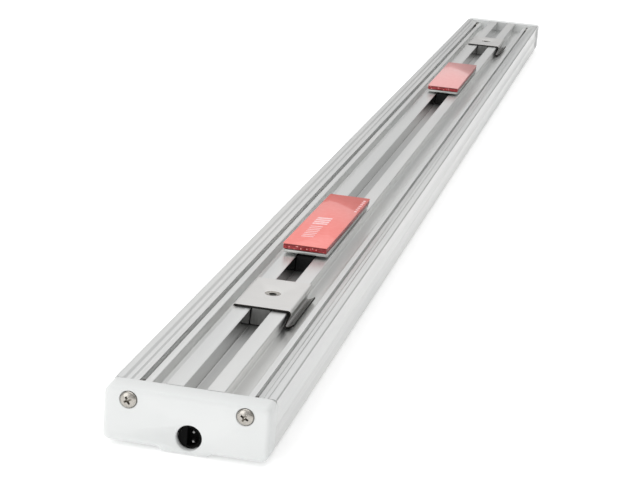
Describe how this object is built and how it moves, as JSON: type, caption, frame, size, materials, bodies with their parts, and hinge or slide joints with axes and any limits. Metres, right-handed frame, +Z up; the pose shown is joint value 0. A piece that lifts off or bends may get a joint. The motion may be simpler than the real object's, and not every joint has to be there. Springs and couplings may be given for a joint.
{
  "type": "linear LED light bar",
  "caption": "Slim aluminium LED light bar, light face down, with white end caps, a round power inlet, spring mounting clips and red-lined adhesive pads sliding on its back",
  "frame": {"origin": "under the middle of the bar, on the surface that the end caps' bulges stand on, with the light face down", "axes": "+Y along the bar away from the power inlet, +X across it to the right as seen from the inlet end, +Z up out of the rail side"},
  "size_m": [0.0546, 0.9022, 0.0243],
  "materials": {
    "housing": "fine satin clear anodising, extrusion lines along the length",
    "end_cap": "moulded white plastic with a fine texture",
    "gasket": "die-cut grey sheet rubber",
    "screw": "stainless, slightly polished domed heads",
    "socket": "moulded black insert",
    "pin": "nickel-plated round contacts",
    "lead_red": "red insulation",
    "lead_black": "black insulation",
    "lens": "opal extruded diffuser",
    "board": "white solder mask on an aluminium core",
    "tape": "grey heat-conducting tape",
    "led": "yellow phosphor in a white package",
    "clip": "plain spring stainless, deburred edges",
    "clip_key": "moulded dark grey key",
    "pad_carrier": "pale satin plate",
    "pad_key": "black extruded key",
    "pad_foam": "clear-cut dark red foam edge",
    "pad_liner": "thin salmon red release film"
  },
  "bodies": {
    "bar": {"housing_extrusion": "housing", "end_cap_near": "end_cap", "end_cap_far": "end_cap", "end_gasket_near": "gasket", "end_gasket_far": "gasket", "cap_screw_near_left": "screw", "cap_screw_near_right": "screw", "cap_screw_far_left": "screw", "cap_screw_far_right": "screw", "power_socket_body": "socket", "socket_pin_upper": "pin", "socket_pin_lower": "pin", "lead_positive": "lead_red", "lead_negative": "lead_black", "diffuser_lens": "lens", "led_board": "board", "thermal_tape": "tape", "led_01": "led", "led_02": "led", "led_03": "led", "led_04": "led", "led_05": "led", "led_06": "led", "led_07": "led", "led_08": "led", "led_09": "led", "led_10": "led", "led_11": "led", "led_12": "led", "led_13": "led", "led_14": "led", "led_15": "led", "led_16": "led", "led_17": "led", "led_18": "led", "led_19": "led", "led_20": "led", "led_21": "led", "led_22": "led", "led_23": "led", "led_24": "led"},
    "near_clip": {"mounting_clip_near": "clip", "clip_slot_key_near": "clip_key"},
    "far_clip": {"mounting_clip_far": "clip", "clip_slot_key_far": "clip_key"},
    "near_pad": {"pad_carrier_near": "pad_carrier", "pad_slot_key_near": "pad_key", "pad_foam_tape_near": "pad_foam", "pad_release_liner_near": "pad_liner"},
    "far_pad": {"pad_carrier_far": "pad_carrier", "pad_slot_key_far": "pad_key", "pad_foam_tape_far": "pad_foam", "pad_release_liner_far": "pad_liner"}
  },
  "joints": [
    {"name": "near_clip_slide", "type": "slide", "parent": "bar", "child": "near_clip", "axis": [0, 1, 0], "range_m": [-0.085, 0.015]},
    {"name": "near_pad_slide", "type": "slide", "parent": "bar", "child": "near_pad", "axis": [0, 1, 0], "range_m": [-0.02, 0.14]},
    {"name": "far_pad_slide", "type": "slide", "parent": "bar", "child": "far_pad", "axis": [0, 1, 0], "range_m": [-0.15, 0.095]},
    {"name": "far_clip_slide", "type": "slide", "parent": "bar", "child": "far_clip", "axis": [0, 1, 0], "range_m": [-0.01, 0.085]}
  ]
}
